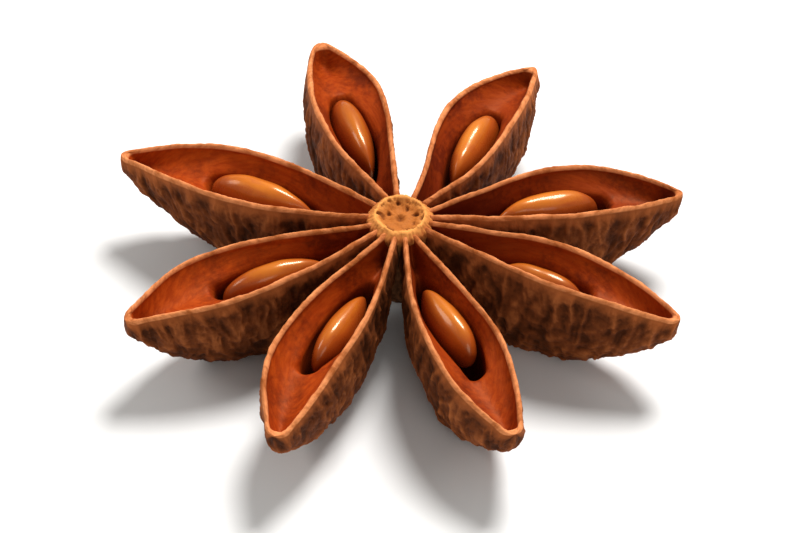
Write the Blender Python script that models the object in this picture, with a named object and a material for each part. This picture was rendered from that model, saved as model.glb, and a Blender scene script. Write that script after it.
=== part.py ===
"""Star anise pod: eight split, boat-shaped carpels fused round a short column, each with its seed.

Units are millimetres in the constants and metres in Blender. +Z is up, and the pod rests on the
keels of its carpels. Run with: blender --background --python part.py
"""

import math
from dataclasses import dataclass

import bmesh
import bpy
import numpy as np
from mathutils import Vector

MM = 0.001

# ---------------------------------------------------------------- driving dimensions, mm
AXIS_X = 0.00            # the column's axis, from the middle of the pod's bounding box
AXIS_Y = -0.39
LIP_PLANE = 6.95         # height at which the lips leave the column
ARCH = 0.2               # how far the lips rise above a straight line from column to beak
FLOOR = 0.0              # height the keels rest on

# Column: rim, dish and broken stalk
RIM_TOP = 0.30           # above the lip plane
RIM_RADIUS = 1.45
RIM_WIDTH = 0.30         # from the rim's crest out to its shoulder
RIM_FALL = 0.15          # from the crest down to the shoulder
DISH_DEPTH = 0.60
DISH_CURVE = ((0.25, 1.00), (0.60, 0.80), (0.85, 0.20))  # shares of the rim's radius and the dish's depth
COLUMN_RADIUS = 1.85
COLUMN_TOP = 0.80        # below the rim's crest, where the side has its full radius
COLUMN_WAIST = 2.00      # below the rim's crest, where it starts to spread to the hub
HUB_RADIUS = 2.80        # where the backs of the carpels join, low on the column
HUB_DROP = 3.90          # below the lip plane
COLUMN_FOOT = 5.10       # below the lip plane
STALK_RADIUS = 1.10
STALK_TAPER = 0.90       # share of the radius that is left at the stalk's end
STALK_STEP = 0.25        # from the column's foot down to the stalk
STALK_END = 6.10         # below the lip plane
COLUMN_SIDES = 20

# Carpel section
LIP = 0.27               # from a lip's crest to the outer wall
LIP_INNER = 0.15         # from the crest to the cavity's wall
OUTER_BULGE = 0.14       # swelling of the outer wall below the lip, as a share of its half width
OUTER_ROUND = 0.91       # power of the outer wall's cosine: 1 is an ellipse, less is fuller
INNER_BULGE = 0.32       # the same for the cavity's wall
INNER_ROUND = 0.80
INNER_LEAST = 0.30       # least half width of the slit, as a share of the outer one
KEEL_WALL = 0.95         # least thickness between the cavity and the keel
GROOVE = 0.05            # depth of the groove that is left where the slit has closed

# Carpel along its length, as shares of the reach (0 on the axis, 1 at the beak)
ROOT = 0.075             # where the carpel starts, inside the column
SLIT_OPENS = (0.08, 0.14)
SLIT_CLOSES = (0.93, 0.97)
BEAK_ROUND = 0.965       # from here the beak closes in a quarter circle
BEAK_CUT = 0.988         # share of the stations' run at which the last ring is capped
BEAK_CROWD = 1.15        # power that crowds the stations towards the beak
DEEPEST = 0.45
ROOT_DEPTH = 0.62        # share of the keel depth that is left at the axis
BEAK_DEPTH = 0.15        # and at the beak
KEEL_POWER = 2.2
LEAN_FROM, LEAN_TO = 0.05, 0.40
PIT_OPENS = (-0.36, -0.21)  # from the seed's middle, towards the column
PIT_CLOSES = (0.20, 0.34)   # and towards the beak, where a ramp follows
PIT_DEPTH = 5.00
SLIT_DEPTH = 1.75
RAMP_DEPTH = 1.30

# Seed
SEED_PLACE = 0.478       # share of the reach, before a carpel's own shift
SEED_DROP = 2.35         # seed's middle below the lips
SEED_LENGTH = 6.8
SEED_HEIGHT = 4.0
SEED_THICKNESS = 2.2
SEED_POINT = 0.35        # how much sharper than an ellipse the inner end is
SEED_SKEW = 0.12         # how much fuller the outer half is
SEED_FULLNESS = 2.4      # power of the back's oval: 2 is an ellipse
SEED_STATIONS = 10
SEED_SIDES = 12

STATIONS = 19            # rings along a carpel
OUTER_STEPS = 4          # points from lip to keel on each side
INNER_STEPS = 3          # points from lip to the bottom of the cavity on each side


@dataclass(frozen=True)
class Seat:
    """How a seed sits in its carpel. Lengths in mm, angles in degrees."""

    size: float          # share of the common seed's size
    shift: float         # past the common place, towards the beak
    side: float          # to the left, seen from the column
    lift: float          # above the common height
    turn: float          # anticlockwise from the carpel's middle line


@dataclass(frozen=True)
class Carpel:
    """One boat-shaped segment of the star. Lengths in mm, angles in degrees."""

    azimuth: float       # from +X towards +Y
    reach: float         # from the column's axis to the beak
    gape: float          # half the opening between the lips, where it is widest
    fullest: float       # where that is, as a share of the reach
    drawn: float         # power of the opening past there: more than 1 draws the beak out
    tip: float           # half the opening that is left at the beak
    bend: float          # sideways bow of the middle, positive anticlockwise
    curl: float          # sideways S-bend on top of it: one way near the root, back near the beak
    lean: float          # turn of the opening about the length, positive anticlockwise
    droop: float         # the beak's drop below the lip plane
    keel: float          # greatest depth from lips to keel
    seat: Seat


CARPELS = (
    Carpel(106.1, 17.30, 2.05, 0.62, 1.00, 0.45, 0.10, 0.12, -3.0, 1.5, 7.15,
           Seat(0.94, 0.90, 0.00, 0.0, 6.0)),
    Carpel(60.6, 16.60, 2.00, 0.59, 1.00, 0.20, 0.10, -0.35, 2.0, 1.5, 6.85,
           Seat(0.94, 0.75, -0.10, 0.0, -2.0)),
    Carpel(12.5, 16.80, 2.05, 0.63, 1.10, 0.25, 0.25, -0.25, 1.0, 1.5, 7.20,
           Seat(1.00, 0.60, 0.00, 0.0, 0.0)),
    Carpel(-23.0, 17.20, 1.65, 0.61, 1.00, 0.25, 0.25, -0.12, 6.5, 1.5, 6.80,
           Seat(0.86, 0.40, -0.25, -0.1, 0.0)),
    Carpel(-67.9, 16.90, 1.90, 0.61, 1.00, 0.40, -0.30, -0.08, 0.0, 1.5, 7.20,
           Seat(0.84, -0.60, 0.20, 0.3, 6.0)),
    Carpel(-113.7, 17.25, 1.95, 0.61, 1.00, 0.45, -0.50, 0.25, 0.0, 1.5, 7.00,
           Seat(0.87, -0.15, 0.30, 0.1, 2.0)),
    Carpel(-156.1, 17.15, 1.98, 0.62, 1.15, 0.35, -0.05, 0.25, 0.0, 1.5, 7.20,
           Seat(0.96, -0.45, 0.15, 0.0, 0.0)),
    Carpel(157.1, 17.75, 2.00, 0.56, 1.05, 0.30, 0.05, 0.20, 1.0, 1.5, 6.90,
           Seat(1.03, 0.10, 0.00, 0.0, 0.0)),
)


# ---------------------------------------------------------------- carpel formulas
def smooth_step(x, low, high):
    """Ease from 0 at low to 1 at high."""
    share = np.clip((x - low) / (high - low), 0.0, 1.0)
    return share * share * (3.0 - 2.0 * share)


def half_gape(carpel, t):
    """Half the distance between the lips' crests: t^p (1 - t) over its peak, and the tip's own."""
    power = carpel.fullest / (1.0 - carpel.fullest)
    peak = carpel.fullest ** power * (1.0 - carpel.fullest)
    share = t ** power * (1.0 - t) / peak
    opening = carpel.gape * share ** (carpel.drawn if t > carpel.fullest else 1.0)
    return math.hypot(opening, carpel.tip * smooth_step(t, carpel.fullest, 1.0))


def seed_place(carpel):
    """Place of the seed's middle along the carpel, as a share of the reach."""
    return SEED_PLACE + carpel.seat.shift / carpel.reach


def beak_closing(t):
    """One along the carpel, and a quarter circle down to nothing at the beak."""
    share = np.clip((t - BEAK_ROUND) / (1.0 - BEAK_ROUND), 0.0, 1.0)
    return np.sqrt(1.0 - share * share)


def keel_depth(carpel, t):
    """Depth from the lips to the keel: a parabola to the deepest place, then a power to the beak."""
    to_root = np.clip((DEEPEST - t) / DEEPEST, 0.0, 1.0)
    to_beak = np.clip((t - DEEPEST) / (1.0 - DEEPEST), 0.0, 1.0)
    share = 1.0 - (1.0 - ROOT_DEPTH) * to_root ** 2 - (1.0 - BEAK_DEPTH) * to_beak ** KEEL_POWER
    return carpel.keel * share


def slit_open(t):
    """One where the carpel is split, easing to nothing inside the column and at the beak."""
    return smooth_step(t, *SLIT_OPENS) * (1.0 - smooth_step(t, *SLIT_CLOSES))


def cavity_depth(carpel, t):
    """Depth of the cavity: a slit, a pit for the seed, and a ramp to the beak."""
    past = t - seed_place(carpel)
    pit = smooth_step(past, *PIT_OPENS) * (1.0 - smooth_step(past, *PIT_CLOSES))
    shallow = SLIT_DEPTH if past < 0.0 else RAMP_DEPTH
    depth = np.minimum(shallow + (PIT_DEPTH - shallow) * pit, keel_depth(carpel, t) - KEEL_WALL)
    return GROOVE + (depth - GROOVE) * slit_open(t)


def lip_height(carpel, t):
    """Height of the lips over the floor: an arch over the droop towards the beak."""
    return LIP_PLANE + ARCH * np.sin(math.pi * t) - carpel.droop * t * t


def sideways(carpel, t):
    """Sideways place of the lips' middle: half a sine wave for the bend and a whole one for the curl."""
    return carpel.bend * np.sin(math.pi * t) + carpel.curl * np.sin(2.0 * math.pi * t)


def heading(carpel, t):
    """Angle of the lips' middle line to the straight line from column to beak, in radians."""
    slope = carpel.bend * math.cos(math.pi * t) + 2.0 * carpel.curl * math.cos(2.0 * math.pi * t)
    return math.atan(math.pi * slope / carpel.reach)


def section(carpel, t):
    """Ring round the carpel at share t: keel, left wall, left lip, cavity, right lip, right wall.

    Returns two arrays, the sideways and upward places of the ring's points from the lips' middle.
    """
    slit = slit_open(t)
    outer = half_gape(carpel, t) + LIP
    inner = max(half_gape(carpel, t) - LIP_INNER, INNER_LEAST * outer)
    keel = keel_depth(carpel, t)
    brim = min(LIP, 0.5 * cavity_depth(carpel, t))

    down = np.linspace(0.0, 0.5 * math.pi, OUTER_STEPS + 1)
    wall_x = outer * np.cos(down) ** OUTER_ROUND * (1.0 + OUTER_BULGE * np.sin(2.0 * down))
    wall_z = -LIP - (keel - LIP) * np.sin(down)
    into = np.linspace(0.0, 0.5 * math.pi, INNER_STEPS + 1)
    swell = 1.0 + INNER_BULGE * slit * np.sin(2.0 * into)
    room_x = inner * np.cos(into) ** INNER_ROUND * swell
    room_z = -brim - (cavity_depth(carpel, t) - brim) * np.sin(into)

    half_x = np.concatenate((wall_x[::-1], [0.5 * (outer + inner)], room_x))
    half_z = np.concatenate((wall_z[::-1], [0.0], room_z))
    half_x[[0, -1]] = 0.0
    side = np.concatenate((half_x, -half_x[-2:0:-1]))
    rise = np.concatenate((half_z, half_z[-2:0:-1]))
    return side * beak_closing(t), rise * beak_closing(t)


def carpel_rings(carpel):
    """Rings of points along the carpel, in its own frame: X out along it, Y to its left, Z up."""
    places = 1.0 - (1.0 - ROOT) * (1.0 - np.linspace(0.0, BEAK_CUT, STATIONS)) ** BEAK_CROWD
    rings = []
    for t in places:
        side, rise = section(carpel, t)
        lean = math.radians(carpel.lean) * smooth_step(t, LEAN_FROM, LEAN_TO)
        across = side * math.cos(lean) + rise * math.sin(lean)
        up = rise * math.cos(lean) - side * math.sin(lean)
        height = np.maximum(lip_height(carpel, t) + up, FLOOR)
        across += sideways(carpel, t)
        rings.append([Vector((carpel.reach * t, y, z)) for y, z in zip(across, height)])
    return rings


# ---------------------------------------------------------------- making objects
def make_material(name, colour, roughness):
    """Principled material of one colour."""
    material = bpy.data.materials.new(name)
    material.use_nodes = True
    shader = material.node_tree.nodes["Principled BSDF"]
    shader.inputs["Base Color"].default_value = (*colour, 1.0)
    shader.inputs["Roughness"].default_value = roughness
    material.diffuse_color = (*colour, 1.0)
    return material


def loft(name, rings, material):
    """Closed object through rings of points in millimetres, with a fan of triangles on each end."""
    mesh = bmesh.new()
    loops = [[mesh.verts.new(point * MM) for point in ring] for ring in rings]
    count = len(loops[0])
    for near, far in zip(loops, loops[1:]):
        for i in range(count):
            j = (i + 1) % count
            mesh.faces.new((near[i], near[j], far[j], far[i]))
    for loop in (loops[0], loops[-1]):
        middle = mesh.verts.new(sum((vert.co for vert in loop), Vector()) / count)
        for i in range(count):
            mesh.faces.new((loop[i], loop[(i + 1) % count], middle))
    bmesh.ops.triangulate(mesh, faces=mesh.faces[:])
    bmesh.ops.recalc_face_normals(mesh, faces=mesh.faces[:])
    data = bpy.data.meshes.new(name)
    mesh.to_mesh(data)
    mesh.free()
    data.materials.append(material)
    thing = bpy.data.objects.new(name, data)
    bpy.context.scene.collection.objects.link(thing)
    return thing


def turn(profile, sides):
    """Rings of points round Z from a profile of radii and heights."""
    angles = [2.0 * math.pi * i / sides for i in range(sides)]
    return [[Vector((r * math.cos(a), r * math.sin(a), z)) for a in angles] for r, z in profile]


def make_column(material):
    """Column with a rim round a shallow dish on top, and the stub of the broken stalk below."""
    rim = LIP_PLANE + RIM_TOP
    foot = LIP_PLANE - COLUMN_FOOT
    stalk_end = LIP_PLANE - STALK_END
    profile = [(radius * RIM_RADIUS, rim - depth * DISH_DEPTH) for radius, depth in DISH_CURVE]
    profile += [
        (RIM_RADIUS, rim),
        (RIM_RADIUS + RIM_WIDTH, rim - RIM_FALL),
        (COLUMN_RADIUS, rim - COLUMN_TOP),
        (COLUMN_RADIUS, rim - COLUMN_WAIST),
        (HUB_RADIUS, LIP_PLANE - HUB_DROP),
        (0.5 * (COLUMN_RADIUS + STALK_RADIUS), foot),
        (STALK_RADIUS, foot - STALK_STEP),
        (STALK_TAPER * STALK_RADIUS, stalk_end),
    ]
    column = loft("husk", turn(profile, COLUMN_SIDES), material)
    column.location = (AXIS_X * MM, AXIS_Y * MM, 0.0)
    return column


def make_husk(material):
    """The column with the eight carpels fused to it, as one solid."""
    husk = make_column(material)
    segments = bpy.data.collections.new("segments")
    bpy.context.scene.collection.children.link(segments)
    for number, carpel in enumerate(CARPELS, start=1):
        segment = loft(f"segment_{number}", carpel_rings(carpel), material)
        segment.location = (AXIS_X * MM, AXIS_Y * MM, 0.0)
        segment.rotation_euler = (0.0, 0.0, math.radians(carpel.azimuth))
        segment.hide_render = True
        segment.display_type = "WIRE"
        bpy.context.scene.collection.objects.unlink(segment)
        segments.objects.link(segment)
    fuse = husk.modifiers.new("fuse", "BOOLEAN")
    fuse.operation = "UNION"
    fuse.operand_type = "COLLECTION"
    fuse.collection = segments
    fuse.solver = "EXACT"
    fuse.use_self = True
    return husk


def make_seed(number, carpel, material):
    """Flattened oval seed standing on its edge in its pit, blunt outside and tapered to the hilum."""
    rings = []
    for i in range(SEED_STATIONS):
        along = -math.cos(math.pi * (i + 0.5) / SEED_STATIONS)
        sharper = 0.5 + 0.5 * SEED_POINT * (1.0 - along)
        breadth = (1.0 - along * along) ** sharper * (1.0 + SEED_SKEW * along)
        rise = math.sqrt(1.0 - abs(along) ** SEED_FULLNESS)
        ring = []
        for k in range(SEED_SIDES):
            turned = 2.0 * math.pi * k / SEED_SIDES
            ring.append(carpel.seat.size * Vector((
                0.5 * SEED_LENGTH * along,
                0.5 * SEED_THICKNESS * breadth * math.cos(turned),
                0.5 * SEED_HEIGHT * rise * math.sin(turned),
            )))
        rings.append(ring)
    seed = loft(f"seed_{number}", rings, material)
    t = seed_place(carpel)
    lean = math.radians(carpel.lean) * smooth_step(t, LEAN_FROM, LEAN_TO)
    azimuth = math.radians(carpel.azimuth)
    drop = SEED_DROP - carpel.seat.lift
    out = carpel.reach * t
    across = sideways(carpel, t) + carpel.seat.side * math.cos(lean) - drop * math.sin(lean)
    seed.location = (
        (AXIS_X + out * math.cos(azimuth) - across * math.sin(azimuth)) * MM,
        (AXIS_Y + out * math.sin(azimuth) + across * math.cos(azimuth)) * MM,
        (lip_height(carpel, t) - drop * math.cos(lean) - carpel.seat.side * math.sin(lean)) * MM,
    )
    seed.rotation_euler = (-lean, 0.0, azimuth + heading(carpel, t) + math.radians(carpel.seat.turn))
    seed.data.shade_smooth()
    return seed


def main():
    """Clear the scene and build the pod."""
    for thing in list(bpy.data.objects):
        bpy.data.objects.remove(thing, do_unlink=True)
    husk_skin = make_material("husk_skin", (0.34, 0.09, 0.025), 0.6)
    seed_coat = make_material("seed_coat", (0.52, 0.16, 0.03), 0.25)
    make_husk(husk_skin)
    for number, carpel in enumerate(CARPELS, start=1):
        make_seed(number, carpel, seed_coat)


main()
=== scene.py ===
"""Looks of a dried star anise pod: eight split carpels round a short column, a glossy seed in each.

Every piece is a grid of points worked out from named sizes in millimetres; meshes are in metres.
The carpel formulas are those of the pod's solids, carried further: more points, wrinkled skin,
ragged lips and a streaked lining.
"""

from __future__ import annotations

import logging
from dataclasses import dataclass
from enum import Enum
from functools import cache
from math import atan, cos, pi, radians, sin, tan

import bpy
import numpy as np
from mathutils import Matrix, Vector

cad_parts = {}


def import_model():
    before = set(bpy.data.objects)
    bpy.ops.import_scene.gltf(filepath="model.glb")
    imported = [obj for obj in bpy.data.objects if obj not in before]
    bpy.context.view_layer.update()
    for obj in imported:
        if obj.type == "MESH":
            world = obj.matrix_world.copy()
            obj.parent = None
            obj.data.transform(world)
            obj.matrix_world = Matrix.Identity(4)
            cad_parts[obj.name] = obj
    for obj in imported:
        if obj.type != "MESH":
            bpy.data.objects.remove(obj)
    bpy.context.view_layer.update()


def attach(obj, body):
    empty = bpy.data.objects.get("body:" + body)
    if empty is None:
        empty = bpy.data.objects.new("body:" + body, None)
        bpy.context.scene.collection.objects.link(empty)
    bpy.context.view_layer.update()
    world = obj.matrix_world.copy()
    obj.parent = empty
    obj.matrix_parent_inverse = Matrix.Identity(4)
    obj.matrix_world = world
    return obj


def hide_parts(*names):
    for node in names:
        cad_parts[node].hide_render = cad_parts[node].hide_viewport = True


MM = 0.001
LOG = logging.getLogger("star_anise")
Array = np.ndarray
Material = bpy.types.Material
Socket = bpy.types.NodeSocket
Tree = bpy.types.NodeTree
Pair = tuple[float, float]
Triple = tuple[float, float, float]
Colour = Triple

# How pointed a seed's inner end is, how much fuller its outer end, and the power of its level back.
SEED_POINT = 0.35
SEED_SKEW = 0.12
SEED_FULLNESS = 2.4


# ---- noise and small formulas
class LatticeNoise:
    """Gradient noise: a random slope at each lattice point, blended smoothly between them.

    A number added to the places picks another part of the lattice, so that two noises differ.
    """

    SLOPES = 256
    LEVEL = 1.6
    SHIFT = 17.3
    RIDGE_SHIFT = 9.1
    RIDGE_FALL = 1.7
    RIDGE_POWER = 1.5

    def __init__(self, seed: int) -> None:
        """Draw the slopes and the shuffle table.

        Args:
            seed: Number that fixes the random draw.
        """
        draw = np.random.default_rng(seed)
        slopes = draw.normal(size=(self.SLOPES, 3))
        self.slopes = slopes / np.linalg.norm(slopes, axis=1, keepdims=True)
        self.shuffle = draw.permutation(self.SLOPES)

    def at(self, places: Array) -> Array:
        """Noise at each place: corner slopes times offsets, blended by 6t^5 - 15t^4 + 10t^3.

        Args:
            places: Array whose last axis holds three coordinates in lattice steps.

        Returns:
            Values of about -1 to 1, one for each place.
        """
        cell = np.floor(places).astype(np.int64)
        inside = places - cell
        ease = inside ** 3 * (inside * (inside * 6.0 - 15.0) + 10.0)
        total = np.zeros(places.shape[:-1])
        for corner in np.ndindex(2, 2, 2):
            key = np.zeros(places.shape[:-1], dtype=np.int64)
            weight = np.ones(places.shape[:-1])
            for axis in range(3):
                key = self.shuffle[(key + cell[..., axis] + corner[axis]) & (self.SLOPES - 1)]
                near = ease[..., axis]
                weight = weight * (near if corner[axis] else 1.0 - near)
            offset = inside - np.array(corner, dtype=float)
            total += weight * np.einsum("...k,...k", self.slopes[key], offset)
        return self.LEVEL * total

    def fractal(self, places: Array, octaves: int, gain: float = 0.5, ridged: bool = False) -> Array:
        """Mean of noises, each twice as fine as the one before and gain times as strong.

        Ridged ones have sharp crests where the noise changes sign: one minus its size, to a power.

        Args:
            places: Coordinates in steps of the coarsest lattice.
            octaves: How many noises are added.
            gain: Strength of each against the one before.
            ridged: Whether the noises are ridged.

        Returns:
            Values of about -1 to 1, or ridged from 0 in the hollows to 1 on the crests.
        """
        total = np.zeros(places.shape[:-1])
        strength, reach = 1.0, 0.0
        for octave in range(octaves):
            shift = octave * (self.RIDGE_SHIFT if ridged else self.SHIFT)
            value = self.at(places * 2.0 ** octave + shift)
            if ridged:
                value = (1.0 - np.minimum(self.RIDGE_FALL * np.abs(value), 1.0)) ** self.RIDGE_POWER
            total += strength * value
            reach += strength
            strength *= gain
        return total / reach


def smooth_step(x: Array, low: float, high: float) -> Array:
    """Ease from 0 at low to 1 at high, as 3s^2 - 2s^3 of the share between them."""
    share = np.clip((x - low) / (high - low), 0.0, 1.0)
    return share * share * (3.0 - 2.0 * share)


def seed_breadth(along: Array) -> Array:
    """Thickness of a seed against its widest, from -1 at its pointed inner end to 1 at its blunt one:
    1 less the place squared, to a power that grows from a half inwards, and fuller outwards.
    """
    sharper = 0.5 + 0.5 * SEED_POINT * (1.0 - along)
    return np.maximum(1.0 - along * along, 0.0) ** sharper * (1.0 + SEED_SKEW * along)


def seed_rise(along: Array) -> Array:
    """Height of a seed against its tallest: a fuller oval, so that its back stays level for longer."""
    return np.sqrt(np.maximum(1.0 - np.abs(along) ** SEED_FULLNESS, 0.0))


def ease_rows(values: Array, passes: int) -> Array:
    """Soften a grid along its rows: each row becomes a quarter, a half and a quarter of three."""
    eased = values.copy()
    for _ in range(passes):
        eased[1:-1] = 0.25 * eased[:-2] + 0.5 * eased[1:-1] + 0.25 * eased[2:]
    return eased


def turn_z(points: Array, angle: float) -> Array:
    """Turn points by an angle in radians round the vertical axis."""
    c, s = cos(angle), sin(angle)
    x, y, z = np.moveaxis(points, -1, 0)
    return np.stack((c * x - s * y, s * x + c * y, z), axis=-1)


def grid_normals(points: Array) -> Array:
    """Unit normals of a grid whose second axis closes on itself: across the rows times along them.

    Args:
        points: Grid of points, rows by columns by 3.

    Returns:
        Normals of the same shape, outwards where columns run anticlockwise seen along the rows.
    """
    along = np.gradient(points, axis=0)
    around = np.roll(points, -1, axis=1) - np.roll(points, 1, axis=1)
    normals = np.cross(around, along)
    length = np.linalg.norm(normals, axis=-1, keepdims=True)
    return normals / np.maximum(length, 1e-12)


# ---- meshes
def new_object(name: str, data: bpy.types.ID) -> bpy.types.Object:
    """New object that shows some data, linked to the scene."""
    thing = bpy.data.objects.new(name, data)
    bpy.context.scene.collection.objects.link(thing)
    return thing


@dataclass
class Skin:
    """A grid of points that closes round its second axis, its masks, and its flow coordinates."""

    points: Array
    masks: dict[str, Array]
    flow: Array

    @staticmethod
    def whole(grid: Array) -> Array:
        """All values of a grid in one run, with the means of its first and last rows at the end."""
        ends = np.stack((grid[0].mean(axis=0), grid[-1].mean(axis=0)))
        return np.concatenate((grid.ravel(), ends.ravel())).astype(np.float32)

    def make(self, name: str) -> bpy.types.Object:
        """Turn the grid into a closed mesh object with its masks as point attributes.

        Args:
            name: Name of the new object.

        Returns:
            The object, linked to the scene and shaded smooth.
        """
        rows, columns = self.points.shape[:2]
        count = rows * columns
        index = np.arange(count).reshape(rows, columns)
        beside = np.roll(index, -1, axis=1)
        quads = np.stack((index[:-1], beside[:-1], beside[1:], index[1:]), axis=-1)
        start = np.stack((beside[0], index[0], np.full(columns, count)), axis=-1)
        end = np.stack((index[-1], beside[-1], np.full(columns, count + 1)), axis=-1)
        corners = np.concatenate((quads.ravel(), start.ravel(), end.ravel()))
        sizes = np.repeat((4, 3), (quads.size // 4, 2 * columns))
        starts = np.cumsum(sizes) - sizes

        mesh = bpy.data.meshes.new(name)
        mesh.vertices.add(count + 2)
        mesh.vertices.foreach_set("co", self.whole(self.points * MM))
        mesh.loops.add(len(corners))
        mesh.loops.foreach_set("vertex_index", corners.astype(np.int32))
        mesh.polygons.add(len(sizes))
        mesh.polygons.foreach_set("loop_start", starts.astype(np.int32))
        mesh.update(calc_edges=True)
        mesh.validate()
        for mask, values in self.masks.items():
            mesh.attributes.new(mask, "FLOAT", "POINT").data.foreach_set("value", self.whole(values))
        flow = mesh.attributes.new("flow", "FLOAT_VECTOR", "POINT")
        flow.data.foreach_set("vector", self.whole(self.flow))
        mesh.shade_smooth()
        return new_object(name, mesh)


# ---- the pod's common sizes
@dataclass(frozen=True)
class PodSizes:
    """Sizes that all carpels share, in mm, and places along a carpel as shares of its reach."""

    axis: Pair = (0.00, -0.39)
    lip_plane: float = 6.95
    arch: float = 0.2
    droop: float = 1.5
    lip: float = 0.27
    lip_out: float = 0.22
    lip_in: float = 0.12
    lip_band: Pair = (0.10, 0.37)
    shoulder_band: Pair = (0.15, 1.25)
    calm_band: Pair = (0.10, 1.30)
    outer_bulge: float = 0.14
    outer_round: float = 0.91
    keel_wall: float = 0.95
    groove: float = 0.05
    root: float = 0.096
    slit_opens: Pair = (0.08, 0.14)
    slit_closes: Pair = (0.950, 0.978)
    beak_round: float = 0.965
    deepest: float = 0.45
    root_depth: float = 0.62
    beak_depth: float = 0.15
    keel_power: float = 2.2
    lean_over: Pair = (0.05, 0.40)
    slit_depth: float = 1.75
    ramp_depth: float = 1.30
    ramp_run: float = 0.22
    face_power: float = 1.3
    least_inside: float = 0.15
    least_valley: float = 0.01
    lip_round: float = 1.35
    skin_ends: float = 1.2
    room_sinks: Pair = (0.4, 1.0)
    room_closes: Pair = (0.90, 1.0)
    room_bottom: int = 6
    follow_band: Pair = (0.08, 0.36)
    heel_band: Pair = (0.10, 0.62)
    hilum_band: Pair = (-0.99, -0.93)
    warp_spans: Pair = (4.6, 1.5)
    warp_moves: Pair = (0.16, 0.025)
    warp_shift: float = 40.0
    room_depth: float = 4.70
    room_throat: float = 0.86
    room_follow: float = 0.7
    room_slope: float = 0.24
    room_gap: Pair = (1.10, 0.09)
    seed_place: float = 0.478
    seed_drop: float = 2.35
    seed_size: Triple = (6.8, 2.2, 4.0)


@dataclass(frozen=True)
class Relief:
    """Low relief of husk and seeds: heights in mm, zero levels, and each noise's span in mm or its
    fineness along, around and across. Bends are height and span, and so are a seed's dents and
    dimples, whose heights are shares of its size.
    """

    wrinkles: float = 0.34
    wrinkle_level: float = 0.42
    dents: float = 0.10
    dent_span: float = 2.3
    nicks: float = 0.09
    nick_fineness: Triple = (0.9, 0.3, 0.3)
    streaks: float = 0.018
    streak_fineness: Triple = (0.35, 1.9, 0.4)
    beak_calm: Pair = (0.0, 0.5)
    lip_calm: float = 0.8
    bend_along: Pair = (0.30, 1.3)
    bend_around: Pair = (0.45, 1.5)
    slant: float = 0.25
    ribs: float = 0.56
    rib_fineness: Triple = (0.95, 0.24, 0.25)
    net: float = 0.28
    net_fineness: Triple = (0.7, 0.9, 0.4)
    crumple: float = 0.34
    crumple_level: float = -0.35
    crumple_fineness: float = 1.9
    seed_dents: Pair = (0.04, 2.2)
    seed_dimples: Pair = (0.012, 0.9)


SIZES = PodSizes()
RELIEF = Relief()
WARP = LatticeNoise(11)
WRINKLES = LatticeNoise(23)
FINE = LatticeNoise(37)


def warp(points: Array) -> Array:
    """Bend space a little, the same for walls and seeds: each coordinate moves by its own slow noise,
    up to about 0.15 mm, plus a faint finer one.

    Args:
        points: Places in mm in the pod's frame.

    Returns:
        The moved places.
    """
    moved = points.copy()
    for axis, shift in enumerate(SIZES.warp_shift * np.eye(3)):
        slow = WARP.at(points / SIZES.warp_spans[0] + shift)
        quick = WARP.at(points / SIZES.warp_spans[1] - shift)
        moved[..., axis] += SIZES.warp_moves[0] * slow + SIZES.warp_moves[1] * quick
    return moved


# ---- carpels
@dataclass(frozen=True)
class Seat:
    """How a seed sits in its carpel: its share of the common size, its shift towards the beak, to the
    left and up in mm, its turn in degrees, the room past its outer end in mm, and how brown it is.
    """

    size: float
    shift: float
    side: float
    lift: float
    turn: float
    slack: float
    tone: float


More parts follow.
